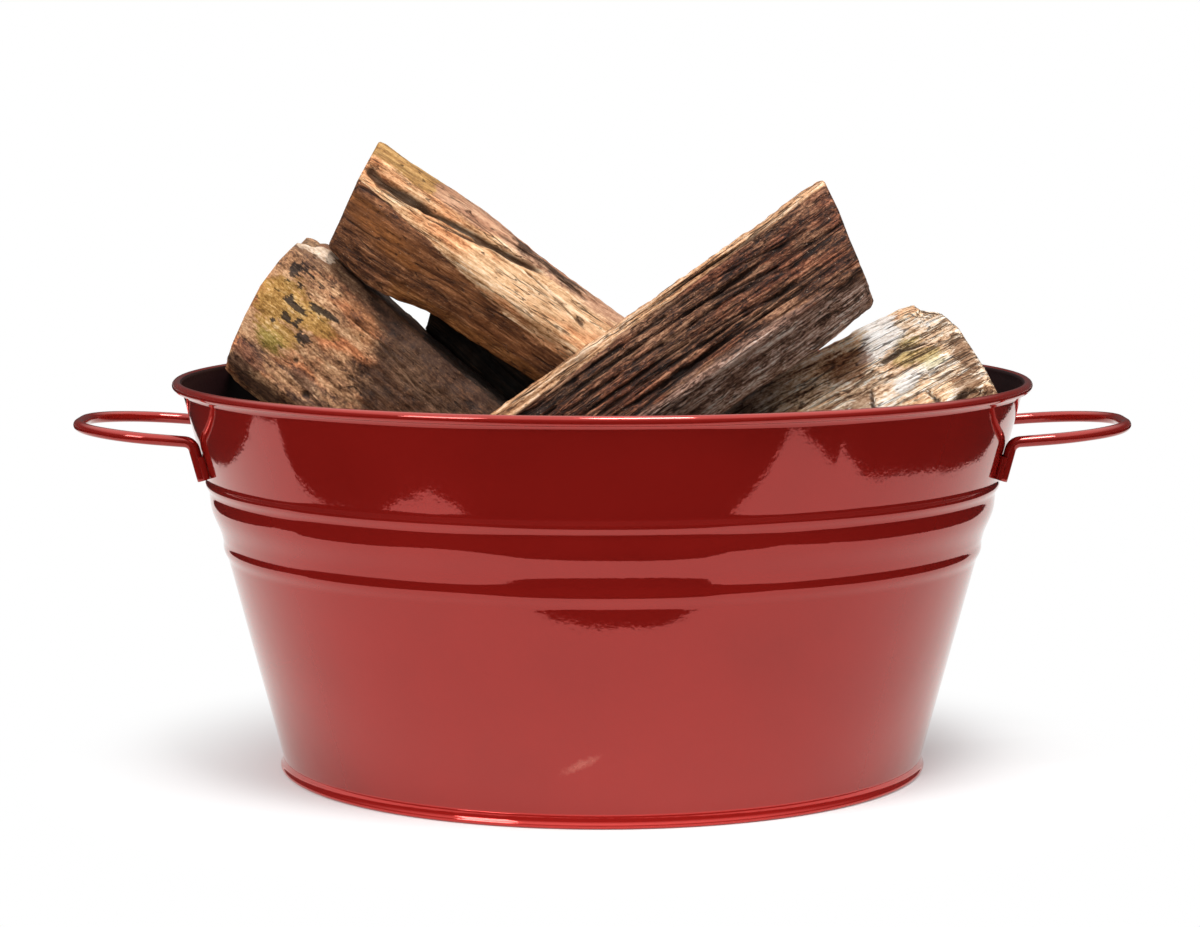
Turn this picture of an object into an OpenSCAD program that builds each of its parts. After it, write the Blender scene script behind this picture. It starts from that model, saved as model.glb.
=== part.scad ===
// Round steel tub for kindling, with a rolled rim, two pressed ribs with a swell between them, a folded foot
// and two bent rod handles. It holds five split logs, which lift straight out.
// The origin is on the floor under the middle of the tub. The handles point along X.

/* [Tub] */
// Height of the tub from the floor to the top of its rim
tub_h = 206; // [180:1:240]
// Outside diameter of the wall at the floor
base_d = 335.5; // [310:0.5:370]
// Outside diameter of the wall under the rim
mouth_d = 442; // [425:0.5:480]
// Thickness of the sheet steel
sheet = 0.9; // [0.6:0.1:1.4]
// Diameter of the wire inside the rolled rim
rim_wire_d = 3.2; // [2:0.1:5]
// Width of the lap where the wall's two ends join at the back
seam_w = 9; // [6:0.5:16]

/* [Foot] */
// Height of the bottom pan's sheet above the floor
pan_lift = 6; // [4:0.5:12]
// Height of the pan's edge, folded up round the outside of the wall
foot_h = 7; // [6:0.5:14]
// How far the folded edge bulges out from the wall
foot_out = 2.6; // [1.2:0.1:4]

/* [Ribs] */
// From the top of the rim down to the middle of the upper rib
upper_rib_drop = 54.2; // [47:0.2:62]
// Height of the upper rib
upper_rib_h = 9; // [7:0.5:12]
// How far the upper rib stands out from the wall
upper_rib_out = 1.3; // [0.6:0.1:2.5]
// From the top of the rim down to the middle of the lower rib
lower_rib_drop = 88.5; // [84:0.5:100]
// Height of the lower rib
lower_rib_h = 11.5; // [8:0.5:14]
// How far the lower rib stands out from the wall
lower_rib_out = 1; // [0.6:0.1:2.5]
// From the top of the rim down to the middle of the swell between the ribs
swell_drop = 67.5; // [63:0.5:74]
// Height of the swell
swell_h = 26; // [18:0.5:30]
// How far the swell stands out from the wall
swell_out = 1.6; // [0.6:0.1:2.5]

/* [Handles] */
// Diameter of the handle rod
rod_d = 6; // [4:0.25:8]
// How far a handle stands out beyond the rim
handle_reach = 52.4; // [45:0.1:80]
// Distance between the two legs of a handle, centre to centre
leg_spacing = 112; // [100:1:130]
// From the top of the rim down to where the rod turns away from the wall
handle_drop = 29.5; // [24:0.5:34]
// How much a handle tilts up towards its outer end, in degrees
handle_tilt = 4.5; // [0:0.5:8]
// Radius of the outer corners, at the middle of the rod
handle_corner_r = 48; // [15:1:55]
// Radius of the bend at the wall, at the middle of the rod
leg_bend_r = 5.5; // [5:0.5:12]
// Gap between the end of a leg and the upper rib
leg_to_rib = 0.5; // [0.5:0.5:6]
// Diameter of the weld bead beside a leg
weld_d = 4; // [3:0.25:5]
// Length of a weld bead
weld_len = 12; // [6:1:16]

/* [Front log] */
// Length of the dark log in front, which lies on the right log
front_log_len = 360; // [300:1:375]
// Height of its section
front_log_h = 68; // [50:1:80]
// Depth of its section
front_log_depth = 72; // [50:1:80]
// Its angle above level, in degrees
front_log_angle = 35.2; // [33:0.2:40]

/* [Right log] */
// Length of the pale log that stands on the pan and leans to the right
right_log_len = 349; // [290:1:356]
// Height of its section
right_log_h = 80; // [60:1:90]
// Depth of its section
right_log_depth = 60; // [45:1:70]
// Its angle above level, in degrees
right_log_angle = 28.5; // [26:0.5:32]

/* [Left log] */
// Length of the wide log that stands on the pan and leans to the left
left_log_len = 315; // [260:1:320]
// Height of its section
left_log_h = 86; // [70:1:95]
// Depth of its section
left_log_depth = 72; // [60:1:90]
// Its angle above level, in degrees
left_log_angle = 40.5; // [39:0.5:45]
// How far its front face lies behind the front face of the upper log
left_log_inset = 18; // [8:1:30]

/* [Upper log] */
// Length of the light brown log that lies on the left log
upper_log_len = 371; // [300:1:375]
// Height of its section at the top end
upper_log_h = 65; // [50:1:75]
// Height of its section at the low end
upper_log_low_h = 46; // [40:1:65]
// Depth of its section
upper_log_depth = 60; // [45:1:66]
// Its angle above level, in degrees
upper_log_angle = 33; // [30:0.5:37]

/* [Inner log] */
// Length of the small dark log on the left log, behind the upper log
inner_log_len = 225; // [160:1:250]
// Height of its section
inner_log_h = 44; // [30:1:50]
// Depth of its section
inner_log_depth = 34; // [24:1:40]
// How far its top end lies below the top end of the left log
inner_log_back = 67; // [40:1:90]

/* [Fits] */
// Gap between sheet, wire, rod and weld surfaces that are joined
joint_gap = 0.1; // [0.05:0.05:0.3]
// Gap between a log and what it rests on
log_gap = 0.3; // [0.2:0.05:1]
// Depth at which the two front logs meet the logs behind them
divide_y = 16; // [5:1:25]

/* [Hidden] */

$fn = 96;
rod_facets = 48;
weld_facets = 360;
bend_swell = 0.06;
run_in = 0.4;
rib_steps = 32;
fold_steps = 8;

// Wall: a cone with two ribs and a swell between them, rolled round the wire at the top
bead_d = rim_wire_d + 2 * (joint_gap + sheet);
rim_z = tub_h - bead_d / 2;
wall_low_z = sheet + joint_gap;
taper = (mouth_d - base_d) / 2 / rim_z;
wall_angle = atan(taper);
upper_rib_z = tub_h - upper_rib_drop;
lower_rib_z = tub_h - lower_rib_drop;
ribs_top_z = upper_rib_z + upper_rib_h / 2;
ribs_low_z = lower_rib_z - lower_rib_h / 2;

function bulge(z, middle, h, out) = abs(z - middle) < h / 2
    ? out * (1 + cos(360 * (z - middle) / h)) / 2 : 0;
function cone_r(z) = base_d / 2 + taper * z;
function outer_r(z) = cone_r(z) + bulge(z, upper_rib_z, upper_rib_h, upper_rib_out)
    + bulge(z, lower_rib_z, lower_rib_h, lower_rib_out)
    + bulge(z, tub_h - swell_drop, swell_h, swell_out);

// Closed outline of a sheet of the given thickness whose inside lies `out` from the wall's outside
function sheet_outline(levels, out, thick) = concat(
    [for (z = levels) [outer_r(z) + out + thick, z]],
    [for (i = [len(levels) - 1 : -1 : 0]) [outer_r(levels[i]) + out, levels[i]]]);

rib_zs = [for (i = [0 : rib_steps]) ribs_low_z + (ribs_top_z - ribs_low_z) * i / rib_steps];
wall_zs = concat([wall_low_z], rib_zs, [rim_z]);
rim_r = outer_r(rim_z) - sheet + bead_d / 2;

// Lap at the back, from the foot fold to the rolled rim
seam_zs = concat([foot_h + sheet], rib_zs, [rim_z - bead_d / 2]);

// Handles: the rod's middle runs beside the wall on its legs
leg_y = leg_spacing / 2;
handle_z = tub_h - handle_drop;
leg_low_z = ribs_top_z + leg_to_rib;
rod_stand_off = (rod_d / 2 + joint_gap) / cos(wall_angle);
function leg_x(z) = sqrt(pow(cone_r(z) + rod_stand_off, 2) - pow(leg_y, 2));
handle_out_x = rim_r + (bead_d - rod_d) / 2 + handle_reach;
handle_out_z = handle_z + (handle_out_x - leg_x(handle_z)) * tan(handle_tilt);
leg_dir = unit([leg_x(handle_z) - leg_x(leg_low_z), 0, handle_z - leg_low_z]);
weld_side = (rod_d + weld_d) * 0.34;
weld_lift = weld_d * 0.3;

function unit(v) = v / norm(v);

// Sections of the logs, as shares of their depth and height, from front 0 to back 1 and from
// underside 0 to top 1. Each one is flat on its underside and on its top, where logs rest on each other.
front_heel = 0.5;
front_back = 0.55;
front_shares = [[0, 0.32], [0.22, 1], [0.55, 1], [1, 0.8], [1, front_back], [front_heel, 0], [0.3, 0]];
right_ridge = 0.72;
right_shares = [[0, 0.12], [0, 0.3], [right_ridge, 1], [0.92, 1], [1, 0.8], [0.96, 0.1],
                 [0.7, 0], [0.25, 0]];
left_shares = [[0, 0.14], [0, 0.82], [0.1, 1], [0.8, 1], [1, 0.75], [1, 0.4], [0.7, 0], [0.24, 0]];
inner_shares = [[0, 0], [0, 0.85], [0.3, 1], [0.75, 0.92], [1, 0.5], [0.9, 0]];
function upper_shares(ridge) =
    [[0, ridge], [0.3, 1], [0.72, 1], [1, 0.62], [0.86, 0.16], [0.62, 0], [0.26, 0]];
upper_ridge_top = 0.6;
upper_ridge_low = 0.34;

// Slants of the sawn ends, in degrees, where a positive one leans towards the top end
front_end_angles = [-5, 12.5];
right_end_angles = [4, 4];
left_end_angles = [6, 9.5];
upper_end_angles = [-4, 11];
inner_end_angles = [5, 32];

// A log lies along its axis, which rises to the right, from the origin on its underside
function axis(rise) = [cos(rise), 0, sin(rise)];
function square_up(rise) = [-sin(rise), 0, cos(rise)];
function log_ring(shares, depth, h, x, slant, rise) = [for (p = shares)
    axis(rise) * (x + (p[1] - 0.5) * h * tan(slant)) + square_up(rise) * p[1] * h
    + [0, p[0] * depth, 0]];
function moved(points, by) = [for (p = points) p + by];
function lowest(points) = min([for (p = points) p[2]]);

// Inside of the tub, as a cone that stays clear of the wall
pan_top_z = pan_lift + sheet;
clear_r = base_d / 2 - sheet - log_gap;
function wall_x(y, z) = sqrt(pow(clear_r + taper * z, 2) - y * y);

// Where an edge that rises at `rise` passes over the rolled rim, at the height of the rim's middle
function rim_x(y, rise) = let (x = sqrt(rim_r * rim_r - y * y))
    x - (bead_d / 2 + log_gap) / sin(rise) * rim_r / x;

// Shift along X that leans a log, standing at height `z`, against the wall or the rim
function lean_x(low, top, y, z, rise) = min([for (i = [0 : len(low) - 1])
    let (share = (rim_z - z - low[i][2]) / (top[i][2] - low[i][2]),
         p = low[i] + (top[i] - low[i]) * min(1, share))
    (share < 1 ? rim_x(p[1] + y, rise) : wall_x(p[1] + y, p[2] + z)) - p[0]]);

// Distance that a log slides along `rise` until its low end meets the wall on the left
function slide_down(low, rise) = max([for (p = low)
    let (r = clear_r + taper * p[2],
         a = pow(cos(rise), 2) - pow(taper * sin(rise), 2),
         b = p[0] * cos(rise) - taper * sin(rise) * r,
         c = p[0] * p[0] + p[1] * p[1] - r * r)
    (-b - sqrt(b * b - a * c)) / a]);

// Logs at rest. The left, upper and inner logs are worked out leaning to the right
// and mirrored when they are drawn.
right_low = log_ring(right_shares, right_log_depth, right_log_h, 0, right_end_angles[0], right_log_angle);
right_top = log_ring(right_shares, right_log_depth, right_log_h, right_log_len, right_end_angles[1],
                     right_log_angle);
right_y = divide_y - log_gap / 2 - right_log_depth;
right_z = pan_top_z + log_gap - lowest(right_low);
right_at = [lean_x(right_low, right_top, right_y, right_z, right_log_angle), right_y, right_z];

front_y = divide_y - log_gap / 2 - front_log_depth;
front_low = log_ring(front_shares, front_log_depth, front_log_h, 0, front_end_angles[0], front_log_angle);
front_top = log_ring(front_shares, front_log_depth, front_log_h, front_log_len, front_end_angles[1],
                     front_log_angle);
front_rest = right_at + square_up(right_log_angle) * right_log_h
             + axis(right_log_angle) * right_log_h / 2 * tan(right_end_angles[0]);
ridge_share = (right_y + right_ridge * right_log_depth - front_y) / front_log_depth;
front_face_tilt = atan(front_log_h * front_back / (front_log_depth * (1 - front_heel)));
front_drop = front_log_depth * (ridge_share - front_heel) * tan(front_face_tilt)
             - log_gap / cos(front_face_tilt);
front_start = [front_rest[0], front_y, front_rest[2]] - square_up(front_log_angle) * front_drop;
front_at = front_start + axis(front_log_angle) * slide_down(moved(front_low, front_start), front_log_angle);

left_low = log_ring(left_shares, left_log_depth, left_log_h, 0, left_end_angles[0], left_log_angle);
left_top = log_ring(left_shares, left_log_depth, left_log_h, left_log_len, left_end_angles[1],
                    left_log_angle);
upper_y = divide_y + log_gap / 2;
left_y = upper_y + left_log_inset;
left_z = pan_top_z + log_gap - lowest(left_low);
left_at = [lean_x(left_low, left_top, left_y, left_z, left_log_angle), left_y, left_z];

upper_low = log_ring(upper_shares(upper_ridge_low), upper_log_depth, upper_log_low_h, 0,
                     upper_end_angles[0], upper_log_angle);
upper_top = log_ring(upper_shares(upper_ridge_top), upper_log_depth, upper_log_h, upper_log_len,
                     upper_end_angles[1], upper_log_angle);
upper_rest = left_at + square_up(left_log_angle) * (left_log_h + log_gap)
             - axis(upper_log_angle) * (upper_log_len - upper_log_h / 2 * tan(upper_end_angles[1]));
upper_start = [upper_rest[0], upper_y, upper_rest[2]];
upper_at = upper_start + axis(left_log_angle) * slide_down(moved(upper_low, upper_start), left_log_angle);

inner_low = log_ring(inner_shares, inner_log_depth, inner_log_h, 0, inner_end_angles[0], left_log_angle);
inner_top = log_ring(inner_shares, inner_log_depth, inner_log_h, inner_log_len, inner_end_angles[1],
                     left_log_angle);
inner_y = upper_y + upper_log_depth + log_gap;
inner_rest = left_at + square_up(left_log_angle) * (left_log_h + log_gap)
             + axis(left_log_angle) * (left_log_len - inner_log_back - inner_log_len);
inner_at = [inner_rest[0], inner_y, inner_rest[2]];

enamel = [0.62, 0.06, 0.07];
dark_enamel = [0.5, 0.05, 0.06];
steel = [0.6, 0.6, 0.62];

module tub_wall() {
    color(enamel) {
        rotate_extrude() {
            polygon(sheet_outline(wall_zs, -sheet, sheet));
            translate([rim_r, rim_z])
                difference() {
                    circle(d = bead_d);
                    circle(d = rim_wire_d + 2 * joint_gap);
                }
        }
        intersection() {
            rotate_extrude()
                polygon(sheet_outline(seam_zs, -sheet / 2, 1.5 * sheet));
            translate([-seam_w / 2, 0, 0])
                cube([seam_w, mouth_d, tub_h]);
        }
    }
}

module rim_wire() {
    color(steel)
        rotate_extrude()
            translate([rim_r, rim_z])
                circle(d = rim_wire_d);
}

// The pan's sheet runs down inside the wall, under its edge and up round the outside
module bottom_pan() {
    skirt_r = cone_r(0) - sheet - joint_gap;
    fold_r = cone_r(0) + joint_gap;
    color(enamel)
        rotate_extrude()
            polygon(concat(
                [[0, pan_lift],
                 [skirt_r - sheet + taper * pan_lift, pan_lift],
                 [skirt_r - sheet, 0]],
                [for (i = [0 : fold_steps])
                    let (turn = 180 * i / fold_steps - 90, z = foot_h * (1 + sin(turn)) / 2)
                    [fold_r + taper * z + foot_out * cos(turn) + sheet * i / fold_steps, z]],
                [[fold_r + taper * foot_h, foot_h],
                 [fold_r + taper * sheet, sheet],
                 [skirt_r + taper * sheet, sheet],
                 [skirt_r + taper * pan_top_z, pan_top_z],
                 [0, pan_top_z]]));
}

// Straight piece of rod between two points, which runs a little way into the bends.
// `side` is square to it and starts its facets.
module rod_run(from, to, side) {
    along = unit(to - from);
    third = cross(along, side);
    multmatrix([for (k = [0 : 2]) [side[k], third[k], along[k], from[k]]])
        translate([0, 0, -run_in])
            cylinder(d = rod_d, h = norm(to - from) + 2 * run_in, $fn = rod_facets);
}

// Bend of radius `r` round the corner at `p`, between the directions `u` and `v`
module rod_bend(p, u, v, r) {
    turn = acos(u * v);
    start = p - u * r * tan(turn / 2);
    x_dir = unit(u * cos(turn) - v);
    axis_dir = cross(x_dir, u);
    middle = start - x_dir * r;
    multmatrix([for (k = [0 : 2]) [x_dir[k], u[k], axis_dir[k], middle[k]]])
        rotate_extrude(angle = turn)
            translate([r, 0])
                circle(d = rod_d + bend_swell, $fn = rod_facets);
}

// Handle on the right: up one leg, out, across and back down the other leg
module handle() {
    low_x = leg_x(leg_low_z);
    high_x = leg_x(handle_z);
    points = [[low_x, -leg_y, leg_low_z], [high_x, -leg_y, handle_z],
              [handle_out_x, -leg_y, handle_out_z], [handle_out_x, leg_y, handle_out_z],
              [high_x, leg_y, handle_z], [low_x, leg_y, leg_low_z]];
    bends = [0, leg_bend_r, handle_corner_r, handle_corner_r, leg_bend_r, 0];
    dirs = [for (i = [0 : 4]) unit(points[i + 1] - points[i])];
    trims = [for (i = [0 : 5])
        i == 0 || i == 5 ? 0 : bends[i] * tan(acos(dirs[i - 1] * dirs[i]) / 2)];
    for (i = [0 : 4])
        rod_run(points[i] + dirs[i] * trims[i], points[i + 1] - dirs[i] * trims[i + 1],
                i == 2 ? dirs[1] : [0, 1, 0]);
    for (i = [1 : 4])
        rod_bend(points[i], dirs[i - 1], dirs[i], bends[i]);
}

// Weld beads along both sides of both legs of the right handle
module handle_welds() {
    low = [leg_x(leg_low_z), 0, leg_low_z];
    for (leg = [-1, 1]) {
        out_dir = unit([leg_x(leg_low_z), leg * leg_y, 0]);
        side_dir = [-out_dir[1], out_dir[0], 0];
        for (side = [-1, 1])
            difference() {
                translate(low + [0, leg * leg_y, 0] + side_dir * side * weld_side
                          + out_dir * (weld_lift - rod_d / 2) + leg_dir)
                    rotate([0, acos(leg_dir[2]), 0])
                        cylinder(d = weld_d, h = weld_len, $fn = rod_facets);
                translate(low + [0, leg * leg_y, 0] - leg_dir * rod_d)
                    rotate([0, acos(leg_dir[2]), 0])
                        cylinder(d = rod_d + 2 * joint_gap, h = weld_len + 3 * rod_d,
                                 $fn = rod_facets);
                cylinder(r1 = base_d / 2 + joint_gap, r2 = mouth_d / 2 + joint_gap, h = rim_z,
                         $fn = weld_facets);
            }
    }
}

module left_handle() {
    color(enamel)
        mirror([1, 0, 0])
            handle();
}

module right_handle() {
    color(enamel)
        handle();
}

module left_handle_welds() {
    color(dark_enamel)
        mirror([1, 0, 0])
            handle_welds();
}

module right_handle_welds() {
    color(dark_enamel)
        handle_welds();
}

// Split log as a closed body between the rings of its low and top ends
module split_log(low, top, at) {
    n = len(low);
    translate(at)
        polyhedron(
            points = concat(low, top),
            faces = concat(
                [[for (i = [0 : n - 1]) i]],
                [[for (i = [n - 1 : -1 : 0]) n + i]],
                [for (i = [0 : n - 1]) [i, n + i, (i + 1) % n]],
                [for (i = [0 : n - 1]) [(i + 1) % n, n + i, n + (i + 1) % n]]));
}

module front_log() {
    color([0.27, 0.18, 0.13])
        split_log(front_low, front_top, front_at);
}

module right_log() {
    color([0.72, 0.6, 0.44])
        split_log(right_low, right_top, right_at);
}

module left_log() {
    color([0.46, 0.33, 0.2])
        mirror([1, 0, 0])
            split_log(left_low, left_top, left_at);
}

module upper_log() {
    color([0.7, 0.52, 0.34])
        mirror([1, 0, 0])
            split_log(upper_low, upper_top, upper_at);
}

module inner_log() {
    color([0.16, 0.11, 0.09])
        mirror([1, 0, 0])
            split_log(inner_low, inner_top, inner_at);
}

tub_wall();
rim_wire();
bottom_pan();
left_handle();
right_handle();
left_handle_welds();
right_handle_welds();
front_log();
right_log();
left_log();
upper_log();
inner_log();
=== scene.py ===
"""Looks of a red enamelled kindling tub with five split logs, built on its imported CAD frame.

The scene is in metres, with Z up and the view along +Y. The sections on the tub, the handles and the
logs work in millimetres, and MM turns their points into metres.
"""

import math
from types import SimpleNamespace

import bpy
import numpy as np
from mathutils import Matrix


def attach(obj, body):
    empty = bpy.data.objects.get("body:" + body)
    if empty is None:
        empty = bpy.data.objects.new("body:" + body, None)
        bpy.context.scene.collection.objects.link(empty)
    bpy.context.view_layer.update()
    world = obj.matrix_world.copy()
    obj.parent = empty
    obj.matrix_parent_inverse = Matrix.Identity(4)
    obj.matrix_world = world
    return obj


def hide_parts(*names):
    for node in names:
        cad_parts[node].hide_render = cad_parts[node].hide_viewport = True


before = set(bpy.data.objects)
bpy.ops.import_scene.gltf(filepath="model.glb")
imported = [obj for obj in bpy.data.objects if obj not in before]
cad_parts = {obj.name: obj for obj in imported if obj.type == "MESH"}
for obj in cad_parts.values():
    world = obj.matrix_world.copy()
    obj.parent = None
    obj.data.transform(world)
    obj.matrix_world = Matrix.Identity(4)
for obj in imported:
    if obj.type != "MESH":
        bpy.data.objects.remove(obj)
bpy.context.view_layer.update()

MM = 0.001


# ---------------- camera

SENSOR_MM = 36.0
FOCAL_PX = 3308.0
PHOTO_WIDTH_PX = 1200
CAMERA_AT = (-0.0012, -1.7399, 0.3504)
CAMERA_PITCH = 0.1093  # radians that the camera looks down


def add_object(name, data):
    made = bpy.data.objects.new(name, data)
    bpy.context.scene.collection.objects.link(made)
    return made


def add_camera():
    data = bpy.data.cameras.new("camera")
    data.sensor_fit = "HORIZONTAL"
    data.sensor_width = SENSOR_MM
    data.lens = FOCAL_PX * SENSOR_MM / PHOTO_WIDTH_PX
    camera = add_object("camera", data)
    camera.location = CAMERA_AT
    camera.rotation_euler = (math.pi / 2 - CAMERA_PITCH, 0, 0)
    bpy.context.scene.camera = camera


# ---------------- node tools

def linear(red, green, blue):
    """Linear colour, with alpha, of an sRGB colour from 0 to 255."""
    def channel(value):
        share = value / 255
        return share / 12.92 if share <= 0.04045 else ((share + 0.055) / 1.055) ** 2.4
    return (channel(red), channel(green), channel(blue), 1.0)


def tones(*colours):
    """Evenly spaced ramp stops from dark to light."""
    return [(i / (len(colours) - 1), linear(*colour)) for i, colour in enumerate(colours)]


class Nodes:
    """Short calls that add nodes to a tree and return their output."""

    def __init__(self, tree):
        self.tree = tree

    def put(self, socket, value):
        if isinstance(value, bpy.types.NodeSocket):
            self.tree.links.new(value, socket)
        else:
            socket.default_value = value

    def node(self, kind, inputs=(), output=0, **settings):
        node = self.tree.nodes.new("ShaderNode" + kind)
        for name, value in settings.items():
            setattr(node, name, value)
        for key, value in dict(inputs).items():
            self.put(node.inputs[key], value)
        return node.outputs[output]

    def attribute(self, name, output="Vector"):
        return self.node("Attribute", output=output, attribute_name=name)

    def math(self, operation, a, b=0.0):
        return self.node("Math", {0: a, 1: b}, operation=operation)

    def times(self, a, b):
        return self.math("MULTIPLY", a, b)

    def total(self, first, *others):
        for other in others:
            first = self.math("ADD", first, other)
        return first

    def centred(self, value, weight):
        """`value` around 0.5 turned into a swing of `weight` around 0."""
        return self.times(self.math("SUBTRACT", value, 0.5), weight)

    def scaled(self, vector, factors):
        return self.node("VectorMath", {0: vector, 1: factors}, operation="MULTIPLY")

    def length(self, vector):
        return self.node("VectorMath", {0: vector}, output=1, operation="LENGTH")

    def noise(self, vector, scale, detail=3.0, roughness=0.55, distortion=0.0):
        return self.node("TexNoise", {"Vector": vector, "Scale": scale, "Detail": detail,
                                      "Roughness": roughness, "Distortion": distortion})

    def streaks(self, grain, stretch, *noise, **more):
        """Noise whose scale along the grain is `stretch` of its scale across it."""
        return self.noise(self.scaled(grain, (stretch, 1.0, 1.0)), *noise, **more)

    def band(self, value, low, high):
        """Smooth step from 0 at `low` to 1 at `high`."""
        return self.node("MapRange", {0: value, 1: low, 2: high}, interpolation_type="SMOOTHSTEP")

    def ramp(self, value, stops):
        node = self.tree.nodes.new("ShaderNodeValToRGB")
        self.put(node.inputs[0], value)
        elements = node.color_ramp.elements
        while len(elements) < len(stops):
            elements.new(1.0)
        for element, (position, colour) in zip(elements, stops):
            element.position = position
            element.color = colour
        return node.outputs[0]

    def mix(self, share, a, b, blend="MIX"):
        return self.node("Mix", {0: share, 6: a, 7: b}, output=2, data_type="RGBA", blend_type=blend)

    def bump(self, height, strength, distance, **normal):
        inputs = {"Height": height, "Strength": strength, "Distance": distance}
        return self.node("Bump", {**inputs, **normal})


MATERIALS = {}


class Material(Nodes):
    """A new material, and calls that set its surface or replace it by another shader."""

    def __init__(self, name):
        self.data = bpy.data.materials.new(name)
        self.data.use_nodes = True
        MATERIALS[name] = self.data
        super().__init__(self.data.node_tree)
        self.bsdf = self.tree.nodes["Principled BSDF"]

    def surface(self, **sockets):
        for name, value in sockets.items():
            self.put(self.bsdf.inputs[name.replace("_", " ")], value)

    def show(self, shader):
        self.put(self.tree.nodes["Material Output"].inputs["Surface"], shader)


# ---------------- enamel and steel

# Linear colours, with alpha
RED = (0.335, 0.012, 0.0085, 1)
DEEP_RED = (0.3, 0.0104, 0.0072, 1)
# Painted light: the foot's brighter red, as where it faces up it catches the light from above
LIT_FOOT_RED = (0.5, 0.013, 0.0095, 1)
DARK = (0.022, 0.008, 0.0085, 1)
DEEP_DARK = (0.012, 0.005, 0.0055, 1)
COAT_TINT = (1.0, 0.97, 0.88, 1.0)
# Heights between which the wall's red turns into the foot's brighter red, which is painted light from above
LIT_FOOT_EDGE = (0.0078, 0.0066)
SCUFF_AT = (-0.0105, -0.177, 0.033)
SCUFF_TURN = 0.45  # radians
SCUFF_SCALE = (100.0, 8.0, 420.0)
SCUFF_COLOUR = linear(214, 130, 112)


def enamel_material(name, colour, deep, metallic, gloss, outside=False):
    """Enamel on sheet steel, with orange peel, cloudy colour, fine dust marks and, outside, a scuff and a
    foot in a brighter red that is painted light.
    """
    made = Material(name)
    place = made.node("TexCoord", output="Object")
    clouds = made.noise(place, 14.0, detail=2.0)
    shade = made.ramp(clouds, [(0.3, deep), (0.7, colour)])
    if outside:
        # Painted light: the foot turns a brighter red, as if lit from above
        height = made.node("SeparateXYZ", {0: place}, output=2)
        shade = made.mix(made.band(height, *LIT_FOOT_EDGE), shade, LIT_FOOT_RED)
    dust = made.noise(place, 700.0, detail=1.0)
    clean, dusty = 0.04 + 0.4 * (1 - gloss), 0.1 + 0.5 * (1 - gloss)
    rough = made.node("MapRange", {0: dust, 1: 0.45, 2: 0.8, 3: clean, 4: dusty})
    if outside:
        worn = scuff_share(made, place)
        shade = made.mix(made.times(worn, 0.3), shade, SCUFF_COLOUR)
        rough = made.total(rough, made.times(worn, 0.25))
    made.surface(Base_Color=shade, Roughness=rough)
    peel = made.noise(place, 420.0, detail=1.0)
    dents = made.noise(place, 60.0, detail=1.0)
    made.surface(Normal=made.bump(peel, 0.1, 0.0002, Normal=made.bump(dents, 0.15, 0.0005)))
    made.surface(Metallic=metallic, Specular_IOR_Level=0.9 * gloss, Coat_Weight=0.2 * gloss)
    made.surface(Specular_Tint=COAT_TINT)


def scuff_share(made, place):
    """1 in a slanting scuff on the front of the wall, 0 elsewhere."""
    away = made.node("VectorMath", {0: place, 1: SCUFF_AT}, operation="SUBTRACT")
    turned = made.node("VectorRotate", {"Vector": away, "Angle": SCUFF_TURN}, rotation_type="Y_AXIS")
    reach = made.length(made.scaled(turned, SCUFF_SCALE))
    ragged = made.centred(made.noise(place, 500.0), 1.6)
    return made.band(made.total(reach, ragged), 1.3, 0.1)


def steel_material(name):
    made = Material(name)
    place = made.node("TexCoord", output="Object")
    streaks = made.noise(made.scaled(place, (1.0, 1.0, 0.2)), 300.0)
    made.surface(Base_Color=made.ramp(streaks, [(0.3, linear(120, 118, 116)), (0.7, linear(176, 175, 174))]))
    made.surface(Metallic=1.0, Roughness=made.node("MapRange", {0: streaks, 3: 0.25, 4: 0.5}))
    made.surface(Normal=made.bump(streaks, 0.3, 0.0002))


# ---------------- wood

# Noise that the wood is made of: stretch along the grain, scale, detail, roughness and distortion
LAYERS = {
    "fibres": (0.06, 620.0, 4.0, 0.75, 0.15),
    "strands": (0.05, 300.0, 3.0, 0.6, 0.3),
    "patches": (0.35, 45.0, 4.0, 0.6),
    "blotches": (0.45, 140.0, 4.0, 0.65),
    "grit": (0.5, 900.0, 3.0, 0.7),
}
# Shift of the end grain's middle, across and up, and its rings in radians per metre
PITH = (-0.02, 0.015)
RING_PITCH = 2600.0


def hairlines(made, grain, scale, width, often):
    """Thin cracks that follow the grain: 1 on a crack, 0 elsewhere."""
    field = made.streaks(grain, 0.045, scale, detail=2.0, distortion=0.3)
    away = made.math("ABSOLUTE", made.math("SUBTRACT", field, 0.5))
    present = made.streaks(grain, 0.25, scale * 0.3, detail=1.0)
    return made.times(made.band(away, width, 0.0), made.band(present, 1.0 - often, 1.15 - often))


def marking_share(made, layers, marking):
    """Strength of a mark inside it, 0 outside, with an edge that the grain makes ragged."""
    ragged = made.attribute(marking.name, "Fac")
    for layer, weight in (("patches", 1.6), ("strands", 1.0), ("blotches", 1.0), ("grit", 0.6)):
        ragged = made.total(made.centred(layers[layer], marking.ragged * weight), ragged)
    return made.times(made.band(ragged, marking.soft, -marking.soft), marking.strength)


def dark_lines(made, grain, look):
    """Hairline cracks and dark specks: 1 on them, 0 elsewhere."""
    lines = made.math("MAXIMUM", hairlines(made, grain, 120.0, 0.016, look.cracked),
                      hairlines(made, grain, 330.0, 0.03, look.cracked * 0.9))
    specks = made.streaks(grain, 0.4, 420.0, detail=2.0, roughness=0.6)
    return made.math("MAXIMUM", lines, made.times(made.band(specks, 0.64, 0.72), look.specks))


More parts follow.
